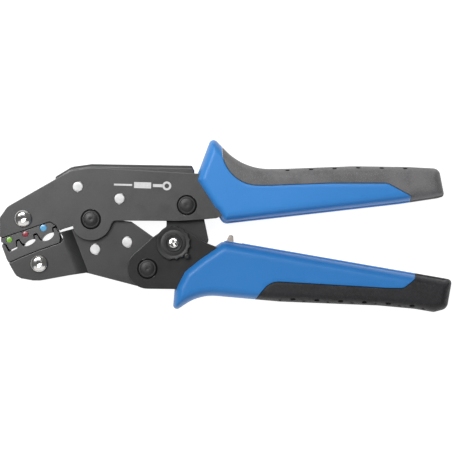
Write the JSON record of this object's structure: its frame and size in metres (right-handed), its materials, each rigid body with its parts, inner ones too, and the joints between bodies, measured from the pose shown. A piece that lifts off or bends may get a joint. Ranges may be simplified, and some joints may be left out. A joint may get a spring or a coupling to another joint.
{
  "type": "crimping tool",
  "caption": "Ratchet hand crimping tool with exchangeable toothed dies, toggle link, adjusting wheel, release tongue and two-component grips.",
  "frame": {"origin": "middle of the box that holds the tool, on the surface it lies on", "axes": "+X from the dies to the rear end of the grips, +Y towards the upper grip, +Z out of the front face"},
  "size_m": [0.2252, 0.086, 0.02],
  "materials": {
    "black_steel": "matt black oxide on stamped steel plate, edges slightly brighter",
    "dark_steel": "dark oiled black oxide",
    "die_steel": "hardened and blackened tool steel, ground faces",
    "bare_steel": "plain steel, lightly tumbled",
    "rivet_steel": "bright ground rivet end",
    "chrome": "bright plated fastener",
    "spring_steel": "drawn spring wire",
    "blue_plastic": "satin moulded blue plastic",
    "dark_rubber": "soft dark grey rubber with a fine grain",
    "green_mark": "glossy enamel dot",
    "red_mark": "glossy enamel dot",
    "blue_mark": "glossy enamel dot"
  },
  "bodies": {
    "frame": {"frame_plate_front": "black_steel", "frame_plate_rear": "black_steel", "frame_spine": "black_steel", "frame_rivet_1": "rivet_steel", "frame_rivet_2": "rivet_steel", "main_pivot_pin": "dark_steel", "link_pin": "dark_steel", "link_washer_front": "bare_steel", "link_washer_rear": "bare_steel", "frame_tang_spacer": "bare_steel", "frame_tang_rivet": "rivet_steel", "upper_die": "die_steel", "dot_green": "green_mark", "dot_red": "red_mark", "dot_blue": "blue_mark", "upper_die_screw": "chrome", "upper_die_nut": "chrome", "upper_grip_shell": "blue_plastic", "upper_grip_pad": "dark_rubber", "opening_spring": "spring_steel"},
    "lower_jaw": {"jaw_plate_front": "black_steel", "jaw_plate_rear": "black_steel", "jaw_spacer": "bare_steel", "jaw_rivet_1": "rivet_steel", "jaw_rivet_2": "rivet_steel", "lower_die": "die_steel", "lower_die_screw": "chrome", "lower_die_nut": "chrome"},
    "lower_handle": {"handle_plate_front": "dark_steel", "handle_plate_rear": "dark_steel", "jaw_handle_pin": "dark_steel", "pawl_pin": "bare_steel", "spring_post": "bare_steel", "handle_tang_spacer": "bare_steel", "handle_tang_rivet": "rivet_steel", "wheel_washer_front": "bare_steel", "wheel_washer_rear": "bare_steel", "lock_screw": "dark_steel", "lower_grip_shell": "blue_plastic", "lower_grip_pad": "dark_rubber", "pawl_spring": "spring_steel"},
    "toggle_link": {"toggle_link": "dark_steel"},
    "wheel": {"adjusting_wheel": "dark_steel", "wheel_collar": "dark_steel", "eccentric_pin": "bare_steel", "wheel_screw": "chrome"},
    "pawl": {"ratchet_pawl": "bare_steel"}
  },
  "joints": [
    {"name": "jaw_pivot", "type": "hinge", "parent": "frame", "child": "lower_jaw", "pos_m": [-0.06722, 0.00334, 0.01], "axis": [0, 0, 1], "range_deg": [-0.7, 10.05]},
    {"name": "handle_pivot", "type": "hinge", "parent": "lower_jaw", "child": "lower_handle", "pos_m": [-0.03907, -0.02126, 0.01], "axis": [0, 0, 1], "range_deg": [-34, 2.3]},
    {"name": "link_pivot", "type": "hinge", "parent": "frame", "child": "toggle_link", "pos_m": [-0.01947, 0.01039, 0.01], "axis": [0, 0, 1], "range_deg": [-1.7, 24.2], "deforming": ["opening_spring"]},
    {"name": "wheel_turn", "type": "hinge", "parent": "lower_handle", "child": "wheel", "pos_m": [-0.02602, -0.00836, 0.01], "axis": [0, 0, 1], "range_deg": [-145, 60]},
    {"name": "release", "type": "hinge", "parent": "lower_handle", "child": "pawl", "pos_m": [-0.00772, -0.02016, 0.01], "axis": [0, 0, -1], "range_deg": [0, 12], "stiffness_Nm_per_rad": 0.05, "deforming": ["pawl_spring"]}
  ],
  "couplings": [
    {"joint": "jaw_pivot", "follows": "handle_pivot", "ratio": -0.295},
    {"joint": "link_pivot", "follows": "handle_pivot", "ratio": -0.709}
  ]
}
